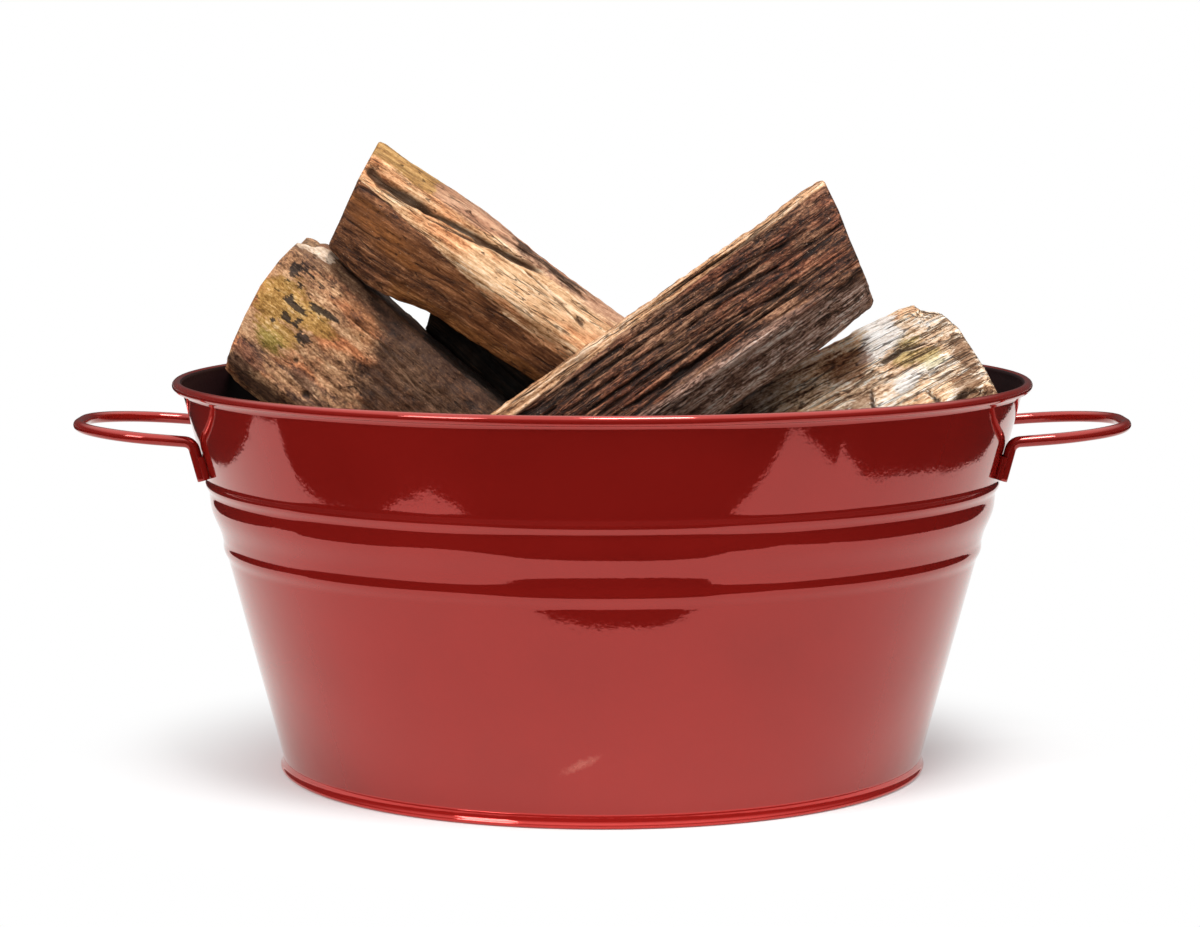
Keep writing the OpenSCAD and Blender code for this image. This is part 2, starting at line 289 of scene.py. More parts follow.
def end_colour(made, grain, layers, look):
    """Growth rings round the pith, on a sawn end."""
    across, height = (made.node("SeparateXYZ", {0: grain}, output=i) for i in (1, 2))
    middle = made.node("CombineXYZ", {1: made.total(across, PITH[0]), 2: made.total(height, PITH[1])})
    radius = made.total(made.length(middle), made.centred(layers["patches"], 0.006))
    rings = made.times(made.math("SINE", made.times(radius, RING_PITCH)), 0.16)
    return made.ramp(made.total(rings, made.centred(layers["grit"], 1.6), 0.5), look.end_tones)


def wood_material(look):
    """Weathered split wood, from the attributes that build_log adds.

    `grain` is the place in the log in metres, `groove` is the painted shade of grooves and cracks,
    1 at the bottom of a crack, `end` is 1 on a sawn end, and each mark has its distance in millimetres
    to the mark's edge, negative inside.
    """
    made = Material(look.slot)
    grain = made.attribute("grain")
    layers = {key: made.streaks(grain, *noise) for key, noise in LAYERS.items()}
    tone = made.total(*map(made.centred, layers.values(), look.weights), 0.5)
    colour = made.ramp(tone, look.tones)
    hue = made.streaks(grain, 0.3, 70.0, detail=3.0, roughness=0.6)
    warm = made.times(made.band(hue, 0.46, 0.62), look.warmth)
    colour = made.mix(warm, colour, made.mix(1.0, colour, look.warm, blend="OVERLAY"))
    for marking in look.marks:
        colour = made.mix(marking_share(made, layers, marking), colour, made.ramp(tone, marking.tones))
    colour = made.mix(made.attribute("end", "Fac"), colour, end_colour(made, grain, layers, look))
    # Painted shade: grooves, cracks and end splits darkened by their depth
    groove = made.band(made.attribute("groove", "Fac"), 0.15, 0.9)
    lines = dark_lines(made, grain, look)
    # Painted shade in grooves and cracks, together with the real dark hairlines and specks
    dark = made.math("MAXIMUM", made.times(groove, 0.9), made.times(lines, 0.85))
    colour = made.mix(dark, colour, look.groove)
    # Bright flecks of grit, which are also painted glints of light
    glint_fleck_share = made.times(made.band(made.noise(grain, 1500.0, detail=1.0), 0.7, 0.76), look.flecks)
    made.surface(Base_Color=made.mix(glint_fleck_share, colour, look.fleck), Specular_IOR_Level=0.22)
    made.surface(Roughness=made.node("MapRange", {0: layers["grit"], 1: 0.3, 2: 0.7, 3: 0.42, 4: 0.85}))
    heights = (("fibres", 0.5), ("strands", 0.7), ("grit", 0.5))
    relief = made.total(*(made.times(layers[key], height) for key, height in heights))
    relief = made.math("SUBTRACT", relief, made.times(lines, 0.6))
    made.surface(Normal=made.bump(relief, 1.0, look.relief * MM))


# ---------------- mesh tools

class Noise:
    """Smooth seeded noise from -1 to 1 over u from 0 to 1 and v, which wraps at 1."""

    def __init__(self, seed, cells_u, cells_v):
        self.cells = (max(1, round(cells_u)), max(1, round(cells_v)))
        rng = np.random.default_rng(seed)
        self.lattice = rng.uniform(-1, 1, (self.cells[0] + 4, self.cells[1]))

    def __call__(self, u, v):
        x = np.clip(u, -0.01, 1.01) * self.cells[0] + 1
        y = v * self.cells[1]
        i = np.floor(x).astype(int)
        j = np.floor(y).astype(int)
        fade_x, fade_y = smooth_step(x - i, 0, 1), smooth_step(y - j, 0, 1)
        low, high = (self.lattice[i, k % self.cells[1]] * (1 - fade_x)
                     + self.lattice[i + 1, k % self.cells[1]] * fade_x for k in (j, j + 1))
        return low * (1 - fade_y) + high * fade_y


def smooth_step(value, low, high):
    share = np.clip((value - low) / (high - low), 0, 1)
    return share * share * (3 - 2 * share)


def unit(vectors):
    return vectors / np.linalg.norm(vectors, axis=-1, keepdims=True)


def new_object(name, points, faces, material):
    mesh = bpy.data.meshes.new(name)
    mesh.from_pydata(np.asarray(points).tolist(), [], faces)
    mesh.materials.append(material)
    return add_object(name, mesh)


def make_piece(name, points, faces, slot, nodes, body="tub"):
    """A smooth-shaded object in the slot's material, which stands for the CAD `nodes`."""
    made = new_object(name, points, faces, MATERIALS[slot])
    made.data.polygons.foreach_set("use_smooth", [True] * len(faces))
    made.data.update()
    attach(made, body)
    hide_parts(*nodes)
    return made


def add_attribute(made, name, values):
    kind, field = ("FLOAT_VECTOR", "vector") if np.ndim(values) == 2 else ("FLOAT", "value")
    made.data.attributes.new(name, kind, "POINT").data.foreach_set(field, np.ravel(values))


def tube_faces(rows, columns, closed_rows=False):
    """Quads of a grid that wraps round its columns, and round its rows if `closed_rows`."""
    faces = []
    for i in range(rows if closed_rows else rows - 1):
        low = i * columns
        high = (i + 1) % rows * columns
        for j in range(columns):
            k = (j + 1) % columns
            faces.append((low + j, low + k, high + k, high + j))
    return faces


def end_faces(rows, columns):
    """Triangles that close both ends of such a grid, round two middle points that follow its own."""
    middle, last = rows * columns, (rows - 1) * columns
    faces = []
    for j in range(columns):
        k = (j + 1) % columns
        faces += [(middle, k, j), (middle + 1, last + j, last + k)]
    return faces


# ---------------- tub

TUB_H = 206.0
BASE_R = 167.75
MOUTH_R = 221.0
SHEET = 0.9
JOINT_GAP = 0.1
WIRE_D = 3.2
BEAD_R = WIRE_D / 2 + JOINT_GAP + SHEET
RIM_Z = TUB_H - BEAD_R
TAPER = (MOUTH_R - BASE_R) / RIM_Z
RIM_R = MOUTH_R - SHEET + BEAD_R
# Middle, height and reach of the two ribs and of the swell between them
RIBS = [(151.8, 9.0, 1.3), (117.5, 11.5, 1.0), (138.5, 26.0, 1.6)]
# Heights with fine rows, and height at which the wall meets the bead
RIBS_LOW, RIBS_HIGH = 109, 159
WALL_TOP = RIM_Z - 1.9
SEAM_W = 9.0
SEAM_EDGE = 0.4
FOOT_H = 7.0
PAN_LIFT = 6.0
FOLD_R = BASE_R + JOINT_GAP
SKIRT_R = BASE_R - SHEET - JOINT_GAP
FOLD_BEND = 0.6
SKIN = SHEET / 2  # of the shell and of the lining
# Waves of the sheet, and the heights over which they fade in and out
WAVE = 0.16
WAVE_IN, WAVE_OUT = (8, 30), (185, 200)
FLOOR_WAVE, FLOOR_WAVE_R = 0.25, 23
TUB_COLUMNS = 420
FLOOR_COLUMNS = 180
# Outside of the folded foot: height above the floor and reach beyond the wall
FOOT_OUTLINE = [(0.0, 1.5), (0.15, 1.8), (0.5, 2.3), (1.0, 2.6), (1.6, 2.65), (2.1, 2.4), (2.6, 1.95),
                (3.2, 1.45), (3.9, 1.0), (4.8, 0.62), (5.7, 0.3), (6.5, 0.02), (FOOT_H, -0.25)]


def wall_r(z):
    """Outside radius of the wall at height z."""
    radius = BASE_R + TAPER * z
    for middle, height, out in RIBS:
        if abs(z - middle) < height / 2:
            radius += out * (1 + math.cos(2 * math.pi * (z - middle) / height)) / 2
    return radius


def bead_arc(start, end, steps):
    """Points on the rolled rim's outline, from the angle `start` to `end` in degrees."""
    turns = [math.radians(start + (end - start) * i / steps) for i in range(steps + 1)]
    return [(RIM_R + BEAD_R * math.cos(t), RIM_Z + BEAD_R * math.sin(t)) for t in turns]


def levels(low, high, step):
    count = max(1, round((high - low) / step))
    return [low + (high - low) * i / count for i in range(count + 1)]


def column_angles(count):
    """Angles round the tub, with extra ones at the edges of the back lap."""
    edge = SEAM_W / 2 / MOUTH_R
    extra = [math.pi / 2 + side * edge * k for side in (-1, 1) for k in (0.8, 0.95, 1.05, 1.2)]
    return np.array(sorted([2 * math.pi * i / count for i in range(count)] + extra))


def turned(profile, count, wave=0.0, lap=None):
    """Points of an outline of (radius, height) turned round Z, row by row, and how many a row has.

    `lap` gives the heights between which the wall's end lies over the wall at the back.
    """
    turn, row = np.meshgrid(column_angles(count), np.arange(len(profile)))
    radius, height = np.moveaxis(np.array(profile)[row], -1, 0)
    place = (height / TUB_H, turn / (2 * math.pi))
    calm = smooth_step(height, *WAVE_IN) * smooth_step(-height, -WAVE_OUT[1], -WAVE_OUT[0])
    radius = radius + wave * calm * (Noise(11, 3, 9)(*place) + 0.35 * Noise(12, 8, 31)(*place))
    if lap:
        across = np.abs(radius * np.cos(turn))
        over = 1 - smooth_step(across, SEAM_W / 2 - SEAM_EDGE, SEAM_W / 2 + SEAM_EDGE)
        over = over * (np.sin(turn) > 0) * smooth_step(height, lap[0], lap[0] + 1)
        radius = radius + SKIN * over * smooth_step(-height, -lap[1], 1 - lap[1])
    points = np.stack([radius * np.cos(turn), radius * np.sin(turn), height], axis=-1)
    return points.reshape(-1, 3), turn.shape[1]


def lathe(name, profile, slot, nodes, **form):
    """A piece of the tub, with a closed outline turned round Z."""
    points, columns = turned(profile, TUB_COLUMNS, **form)
    faces = tube_faces(len(profile), columns, closed_rows=True)
    make_piece(name, points * MM, faces, slot, nodes)


def build_wall():
    """The red shell with the rolled rim, and the dark lining behind it."""
    zs = levels(FOOT_H * 0.5, RIBS_LOW - 1, 4) + levels(RIBS_LOW, RIBS_HIGH, 0.8)
    zs += levels(RIBS_HIGH + 3, WALL_TOP, 3)
    middle = [(RIM_R - BEAD_R + SKIN, RIM_Z)] + [(wall_r(z) - SKIN, z) for z in reversed(zs)]
    shell = [(wall_r(z), z) for z in zs] + bead_arc(-115, 128, 26) + middle
    lathe("tub_shell", shell, "enamel_red", ["tub_wall"], wave=WAVE, lap=(FOOT_H + 1, WALL_TOP))
    lining = [(wall_r(z) - SHEET, z) for z in zs] + bead_arc(180, 129, 8) + middle
    lathe("tub_lining", lining, "enamel_dark", ["tub_wall"], wave=WAVE)


def build_foot():
    """The pan's skirt inside the wall, folded up round the wall's lower edge as the foot."""
    inside = SKIRT_R - SHEET
    fold = [(inside + TAPER * PAN_LIFT, PAN_LIFT), (inside, FOLD_BEND), (inside + FOLD_BEND, 0.0)]
    fold += [(FOLD_R + TAPER * z + out, z) for z, out in FOOT_OUTLINE]
    fold += [(FOLD_R + TAPER * FOOT_H - 0.4, FOOT_H - 0.1), (FOLD_R + TAPER * SHEET - 0.05, SHEET),
             (SKIRT_R + TAPER * SHEET, SHEET), (SKIRT_R + TAPER * PAN_LIFT, PAN_LIFT)]
    lathe("foot_fold", fold, "enamel_red", ["bottom_pan"])


def build_floor():
    """The pan's floor, from the middle of its top to its edge and back along its underside."""
    radii = levels(2, SKIRT_R - SHEET + TAPER * PAN_LIFT - 0.02, 6)
    top = [(r, PAN_LIFT + SHEET + FLOOR_WAVE * math.sin(r / FLOOR_WAVE_R)) for r in radii]
    outline = top + [(r, PAN_LIFT) for r in reversed(radii)]
    points, columns = turned(outline, FLOOR_COLUMNS)
    middles = [(0, 0, outline[0][1]), (0, 0, outline[-1][1])]
    faces = tube_faces(len(outline), columns) + end_faces(len(outline), columns)
    make_piece("pan_floor", np.vstack([points, middles]) * MM, faces, "enamel_dark", ["bottom_pan"])


# ---------------- handles

ROD_R = 3.0
HANDLE_REACH = 52.4
LEG_Y = 56.0
HANDLE_Z = TUB_H - 29.5
HANDLE_TILT = 4.5  # degrees
CORNER_R = 48.0
LEG_BEND_R = 5.5
LEG_LOW_Z = 156.8
ROD_STAND_OFF = (ROD_R + JOINT_GAP) / math.cos(math.atan(TAPER))
ROD_STEP = 1.5
ROD_SIDES = 32


def leg_x(z):
    return math.sqrt((BASE_R + TAPER * z + ROD_STAND_OFF) ** 2 - LEG_Y ** 2)


def rounded_path(corners, radii, spacing):
    """Points along straight runs between `corners`, with an arc at each inner corner."""
    corners = np.array(corners, float)
    points = [corners[0]]
    for i in range(1, len(corners) - 1):
        u, v = unit(corners[i] - corners[i - 1]), unit(corners[i + 1] - corners[i])
        turn = math.acos(float(u @ v))
        start = corners[i] - u * radii[i] * math.tan(turn / 2)
        middle = start + unit(v - u * math.cos(turn)) * radii[i]
        steps = max(3, math.ceil(radii[i] * turn / spacing))
        for k in range(steps + 1):
            a = turn * k / steps
            points.append(middle + (start - middle) * math.cos(a) + u * radii[i] * math.sin(a))
    points.append(corners[-1])
    dense = [points[0]]
    for p, q in zip(points, points[1:]):
        count = max(1, round(float(np.linalg.norm(q - p)) / spacing))
        dense += [p + (q - p) * k / count for k in range(1, count + 1)]
    return np.array(dense)


def sweep(path, radius, sides, seed):
    """Points and faces of a rod along `path`, with slightly rounded ends and a hand-dipped surface."""
    tangents = unit(np.gradient(path, axis=0))
    normal = np.cross(tangents[0], (0, 0, 1.0))
    turn = np.arange(sides) / sides
    dip = Noise(seed, len(path) / 14, 5)
    rings = []
    for i, (centre, tangent) in enumerate(zip(path, tangents)):
        normal = unit(normal - tangent * (normal @ tangent))
        binormal = np.cross(tangent, normal)
        size = radius * (1 + 0.02 * dip(np.full(sides, i / len(path)), turn) - 0.02)
        rings.append(centre + (np.cos(2 * math.pi * turn)[:, None] * normal
                               + np.sin(2 * math.pi * turn)[:, None] * binormal) * size[:, None])
    first = [path[0] + (rings[0] - path[0]) * share for share in (0.15, 0.7)]
    last = [path[-1] + (rings[-1] - path[-1]) * share for share in (0.7, 0.15)]
    rings = first + rings + last
    faces = tube_faces(len(rings), sides)
    faces.append(tuple(reversed(range(sides))))
    faces.append(tuple(range((len(rings) - 1) * sides, len(rings) * sides)))
    return np.concatenate(rings), faces


def build_handle(name, side):
    low_x, high_x = leg_x(LEG_LOW_Z), leg_x(HANDLE_Z)
    out_x = RIM_R + BEAD_R - ROD_R + HANDLE_REACH
    out_z = HANDLE_Z + (out_x - high_x) * math.tan(math.radians(HANDLE_TILT))
    half = [(low_x, LEG_LOW_Z), (high_x, HANDLE_Z), (out_x, out_z)]
    corners = [(x, -LEG_Y, z) for x, z in half] + [(x, LEG_Y, z) for x, z in reversed(half)]
    path = rounded_path(corners, [0, LEG_BEND_R, CORNER_R, CORNER_R, LEG_BEND_R, 0], ROD_STEP)
    path[:, 0] *= side
    points, faces = sweep(path, ROD_R, ROD_SIDES, 21 + side)
    make_piece(name + "_rod", points * MM, faces, "enamel_red", [name])


# ---------------- log shapes

ROW_MM = 1.4
# Sizes of the rows on a sawn end, from its middle outwards
CAP_SIZES = [0.04, 0.15, 0.3, 0.45, 0.6, 0.72, 0.82, 0.9, 0.95, 0.98]
FAR_MM = 50.0
EDGE_MM = 2.5


def end_rings(node, along, up):
    """The CAD log's two end outlines, in matching order, as (along, depth, height) in metres."""
    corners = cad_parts[node].data.vertices
    points = np.unique(np.round(np.array([v.co for v in corners], float), 6), axis=0)
    local = np.stack([points @ along, points[:, 1], points @ up], axis=1)
    middle = (local[:, 0].min() + local[:, 0].max()) / 2
    rings = []
    for part in (local[local[:, 0] < middle], local[local[:, 0] > middle]):
        centre = part.mean(axis=0)
        turn = np.arctan2(part[:, 2] - centre[2], part[:, 1] - centre[1])
        rings.append(part[np.argsort(turn)])
    low, top = rings
    shifts = [np.abs((np.roll(top, k, axis=0) - low)[:, 1:]).sum() for k in range(len(low))]
    return low, np.roll(top, int(np.argmin(shifts)), axis=0)


def round_corners(ring, other, cut_mm):
    """Both outlines with each corner replaced by a short curve of five points."""
    out, out_other = [], []
    for i in range(len(ring)):
        after = (i + 1) % len(ring)
        back, ahead = (min(0.35, cut_mm * MM / np.linalg.norm(ring[i] - ring[j])) for j in (i - 1, after))
        for source, target in ((ring, out), (other, out_other)):
            p, a, b = source[i], source[i - 1], source[after]
            start, end = p + (a - p) * back, p + (b - p) * ahead
            for t in (0.0, 0.25, 0.5, 0.75, 1.0):
                target.append(start * (1 - t) ** 2 + p * 2 * t * (1 - t) + end * t ** 2)
    return np.array(out), np.array(out_other)


def resample(ring, other, count):
    """Both outlines with `count` points, evenly spaced round `ring`, and the way round it."""
    closed = np.vstack([ring, ring[:1]])
    steps = np.linalg.norm(np.diff(closed[:, 1:], axis=0), axis=1)
    length = np.concatenate([[0], np.cumsum(steps)])
    at = np.arange(count) / count * length[-1]

    def pick(source):
        source = np.vstack([source, source[:1]])
        return np.stack([np.interp(at, length, source[:, k]) for k in range(3)], axis=1)
    return pick(ring), pick(other), length[-1]


def line_distance(u, v, line):
    """Distance of each point from a bent line, and the share of the line at its nearest point."""
    best, share = np.full(u.shape, np.inf), 0
    line = np.array(line, float)
    for k, (start, run) in enumerate(zip(line, np.diff(line, axis=0))):
        away_u, away_v = u - start[0], v - start[1]
        t = np.clip((away_u * run[0] + away_v * run[1]) / (run @ run), 0, 1)
        distance = np.hypot(away_u - t * run[0], away_v - t * run[1])
        share = np.where(distance < best, (k + t) / (len(line) - 1), share)
        best = np.minimum(best, distance)
    return best, share


def patch_distance(u, v, patches):
    """Distance to the nearest of the patches, each (along, up, half length, half height)."""
    best = np.full(u.shape, FAR_MM)
    for along, up, half_along, half_up in patches:
        reach = np.hypot((u - along) / half_along, (v - up) / half_up) - 1
        best = np.minimum(best, reach * min(half_along, half_up))
    return best


def log_rows(low, top):
    """Length of a log, and the share along it and the size of each row, from end to end."""
    length = float(np.mean(top[:, 0] - low[:, 0])) / MM
    side_rows = round(length / ROW_MM)
    size = np.array(CAP_SIZES + [1.0] * side_rows + CAP_SIZES[::-1])
    share = np.pad(np.linspace(0, 1, side_rows), len(CAP_SIZES), mode="edge")
    return length, share, size


def facing_inwards(ring, centre):
    """Unit normals of each row's section, in depth and height, pointing into the log."""
    ahead = np.roll(ring, -1, axis=1) - np.roll(ring, 1, axis=1)
    inward = unit(np.stack([-ahead[..., 2], ahead[..., 1]], axis=-1))
    towards = (centre - ring)[..., 1:]
    return inward * np.sign((inward * towards).sum())


class LogGrid:
    """A log's smooth surface, lofted between the CAD log's ends: rows along it, columns round it.

    `ring` holds the points as (along, depth, height) in metres. `along`, `depth`, `up` and `below`
    are each point's place in millimetres, the last one down from the top edge.
    """

    def __init__(self, look):
        self.look = look
        rise = math.radians(look.angle)
        self.axis = np.array([look.lean * math.cos(rise), 0, math.sin(rise)])
        self.square_up = np.array([-look.lean * math.sin(rise), 0, math.cos(rise)])
        low, top = round_corners(*end_rings(look.node, self.axis, self.square_up), look.corner)
        low, top, around = resample(low, top, look.columns)
        self.around = around / MM
        self.origin = low.min(axis=0)
        heights, reaches = zip(*look.top_end)
        broken = np.interp((top[:, 2] - top[:, 2].min()) / MM, heights, reaches)
        top[:, 0] = self.origin[0] + broken * MM
        self.length, share, size = log_rows(low, top)
        ring = low[None] + (top - low)[None] * share[:, None, None]
        centre = ring.mean(axis=1, keepdims=True)
        self.ring = centre + (ring - centre) * size[:, None, None]
        self.inward = facing_inwards(self.ring, centre)
        self.s, self.t = np.meshgrid(np.arange(look.columns) / look.columns, share)
        self.size = size[:, None] + 0 * self.t
        self.on_end = self.size < 1
        self.along, self.depth, self.up = np.moveaxis(self.ring - self.origin, -1, 0) / MM
        self.below = self.up.max(axis=1, keepdims=True) - self.up
        self.front = self.depth < look.front_depth
        self.jitter = self.noise(9, 9, 5) * 0.7 + self.noise(10, 4, 2.5) * 0.3
        self.lumps = self.noise(6, 13, 8)

    def noise(self, index, along_cell, around_cell, shift=0.0):
        """Noise with cells of the given sizes in millimetres."""
        made = Noise(self.look.seed + index, self.length / along_cell, self.around / around_cell)
        return made(self.t, self.s + shift)

    def end_noise(self, index, cells):
        """Noise that is the same along the whole log."""
        return Noise(self.look.seed + index, 1, cells)(np.full_like(self.t, 0.5), self.s)


def ridged(value, power):
    """1 where the noise crosses zero, falling away on both sides."""
    return (1 - np.abs(value)) ** power


def lifted(value):
    """Noise from -1 to 1 turned into a share from 0 to 1."""
    return value * 0.5 + 0.5


def grain_depth(log):
    """Depth of the grooves that wander along a log, and of all its grain over slow swells."""
    look = log.look
    split = smooth_step(log.up, *look.split_from) if look.split_from else look.split
    wander = log.noise(0, 90, 45) * 0.022 + log.noise(1, 35, 16) * 0.004
    broken = np.clip(log.noise(14, 45, 12, wander) * 2.0 + 0.9, 0, 1)
    wide = ridged(log.noise(2, 140, look.groove_mm, wander), 11)
    narrow = ridged(log.noise(3, 80, look.groove_mm * 0.42, wander), 8) * 0.6
    cut = (wide + narrow) * broken * look.groove_deep * split
    fine = ridged(log.noise(4, 30, 2.2, wander), 4) * 0.45 + lifted(log.noise(5, 8, 2.0)) * 0.3
    rough = lifted(log.lumps) ** 2 * look.lumps * (1 - 0.6 * split)
    rough += lifted(log.noise(7, 4, 3.5)) * look.grain_mm
    return cut, lifted(log.noise(8, 70, 40)) * look.swell + cut + rough + fine


def carve(log):
    """Depth of each point below the smooth surface, and the painted shade of its groove, from 0 to 1."""
    look = log.look
    cut, inset = grain_depth(log)
    # Painted shade: the deeper the groove, the darker
    groove = np.clip(cut / max(look.groove_deep, 0.1), 0, 1) * look.groove_dark
    for crack in look.cracks:
        distance, place = line_distance(log.along, log.up, crack.line)
        fading = np.minimum(1, (1 - np.abs(2 * place - 1)) * 4 + 0.2)
        inside = np.exp(-((distance + log.jitter) / crack.wide) ** 2) * fading * log.front
        inset = inset + inside * crack.deep
        # Painted shade in the carved crack
        groove = np.maximum(groove, inside * crack.dark)
    for *patch, deep in look.chips:
        distance = patch_distance(log.along, log.up, [patch])
        ragged = distance + log.lumps * 2.0 + log.jitter
        inset = inset + smooth_step(-ragged, -1.0, 2.0) * deep * log.front
    for side, middle, half_length, out in look.bulges:
        window = np.clip(1 - ((log.along - middle) / half_length) ** 2, 0, 1) ** 2
        inset = inset - window * np.clip(-log.inward[..., 1] * side, 0, 1) * out
    end_gap = np.where(log.on_end, 0, np.minimum(log.t, 1 - log.t) * log.length)
    edge = Noise(look.seed + 11, 2, log.around / 9)(log.t, log.s)
    wear = (0.6 + 0.9 * lifted(edge)) * (1 - end_gap / EDGE_MM)
    return inset + np.maximum(0, wear) ** 1.4, groove


def end_splits(log):
    """1 in the splits that run out from the middle of each sawn end, 0 elsewhere."""
    rays = np.clip(1 - np.abs(log.end_noise(12, 11)) * 8, 0, 1)
    return rays * (1 - log.size ** 6) * log.size


def build_log(look):
    """A split log with grain, cracks, chips, worn edges and rough sawn ends."""
    log = LogGrid(look)
    inset, groove = carve(log)
    splits = end_splits(log)
    log.ring[..., 1:] += log.inward * (inset * log.size * MM)[..., None]
    hollow = (log.end_noise(13, 50) * 0.3 + 0.4 + splits * 2.0) * log.on_end
    log.ring[..., 0] += np.where(log.t < 0.5, 1, -1) * hollow * MM

    rows, columns = log.t.shape
    local = np.vstack([log.ring.reshape(-1, 3), log.ring[0].mean(axis=0), log.ring[-1].mean(axis=0)])
    points = local[:, :1] * log.axis + local[:, 1:2] * np.array([0, 1.0, 0]) + local[:, 2:] * log.square_up
    faces = tube_faces(rows, columns) + end_faces(rows, columns)
    if look.lean < 0:
        faces = [tuple(reversed(face)) for face in faces]
    wood_material(look)
    made = make_piece(look.node + "_wood", points, faces, look.slot, [look.node], body=look.node)

    def with_middles(values):
        return np.concatenate([values.ravel(), [values[0].mean(), values[-1].mean()]])
    add_attribute(made, "grain", local - log.origin)
    # Painted shade of grooves, cracks and the sawn ends' splits
    add_attribute(made, "groove", with_middles(np.clip(groove + splits * 0.8 * log.on_end, 0, 1)))
    add_attribute(made, "end", with_middles(log.on_end.astype(float)))
    for marking in look.marks:
        distance = patch_distance(log.along, log.up, marking.patches)
        if marking.where:
            distance = np.minimum(distance, marking.where(log))
        distance = np.maximum(distance, log.depth - (marking.depth or look.front_depth))
        add_attribute(made, marking.name, with_middles(distance))


# ---------------- log looks

ALL_ROUND = math.inf
UNDER, TOP = -1, 1


# A carved crack; `dark` is the strength of its painted shade
def crack(line, wide, deep, dark=1.0):
    return SimpleNamespace(line=line, wide=wide, deep=deep, dark=dark)


def mark(name, strength, shades, patches=(), where=None, ragged=9.0, soft=2.0, depth=None):
    """A stain, a worn patch or a patch of painted light or shade, which reaches from the front of the log to
    `depth`.

    It lies in `patches` and where `where`, a function of the log's grid, is negative.
    """
    return SimpleNamespace(name=name, strength=strength, tones=tones(*shades), patches=patches,
                           where=where, ragged=ragged, soft=soft, depth=depth)


def log_look(node, tints, shades, end_shades, **values):
    """Look of a log. Places are (along, up) from its low end and its underside, in millimetres.

    `lean` is 1 where the log rises to the right and -1 to the left. `top_end` is the broken end, as
    (up, along). `weights` are those of the wood's LAYERS. The tints are the warm one, the painted
    shade of the grooves, and the flecks, which are also painted glints. `split` is how strongly the
    grain has opened, or `split_from` the heights between which it does. Chips are (along, up, half
    length, half height, depth), and bulges (side, along, half length, out).
    """
    usual = dict(split=0.8, split_from=None, cracks=[], chips=[], bulges=[])
    warm, groove, fleck = (linear(*tint) for tint in tints)
    return SimpleNamespace(**{**usual, **values}, node=node, warm=warm, groove=groove, fleck=fleck,
                           tones=tones(*shades), end_tones=tones(*end_shades))


FRONT_LOG = log_look(
    "front_log", angle=35.2, lean=1, slot="wood_brown", seed=100, corner=3, columns=400, groove_mm=6,
    groove_deep=2.4, groove_dark=1, swell=0.8, lumps=1.5, grain_mm=0.9, front_depth=45, relief=1, warmth=0.4,
    weights=(1.9, 1.6, 0.7, 1.2, 1.7), cracked=0.65, specks=0.85, split_from=(20, 28),
    top_end=[(0, 354), (8, 356), (20, 358), (36, 361.5), (51, 365.5), (66, 368)],
    shades=[(20, 10, 6), (50, 28, 18), (88, 55, 38), (130, 88, 63), (176, 132, 102)],
    end_shades=[(40, 26, 18), (86, 60, 44), (130, 98, 74)],
    tints=[(168, 88, 50), (24, 12, 7), (206, 170, 145)], flecks=0.7,
    cracks=[
        crack([(20, 51), (120, 50), (230, 53), (330, 51)], 0.9, 2.4),
        crack([(60, 40), (170, 41), (300, 40)], 1, 2.8),
        crack([(180, 31), (260, 30), (345, 29)], 0.9, 2.4),
        crack([(100, 57), (200, 58), (290, 57)], 0.8, 2),
        crack([(130, 35), (230, 36), (330, 34)], 0.8, 2),
        crack([(150, 46), (250, 47), (340, 45)], 0.8, 2),
    ],
    chips=[(330, 66, 9, 3, 0.6)],
    bulges=[(UNDER, 300, 110, 5)],
    marks=[
        # Painted light: the narrow top face made pale, as lit from above
        mark("strip", 1, [(98, 60, 37), (178, 127, 88), (218, 171, 130), (246, 212, 180)],
             where=lambda at: at.below - np.interp(at.along, [120, 250, 330], [9.5, 6.5, 3.5]), ragged=4,
             soft=0.6),
        mark("under", 1, [(40, 26, 20), (122, 87, 71), (208, 168, 148), (255, 241, 230)],
             where=lambda at: np.maximum(at.up - np.interp(at.along, [200, 306, 350], [24, 23, 14]),
                                         at.along - 354), ragged=13, soft=4, depth=ALL_ROUND),
    ],
)

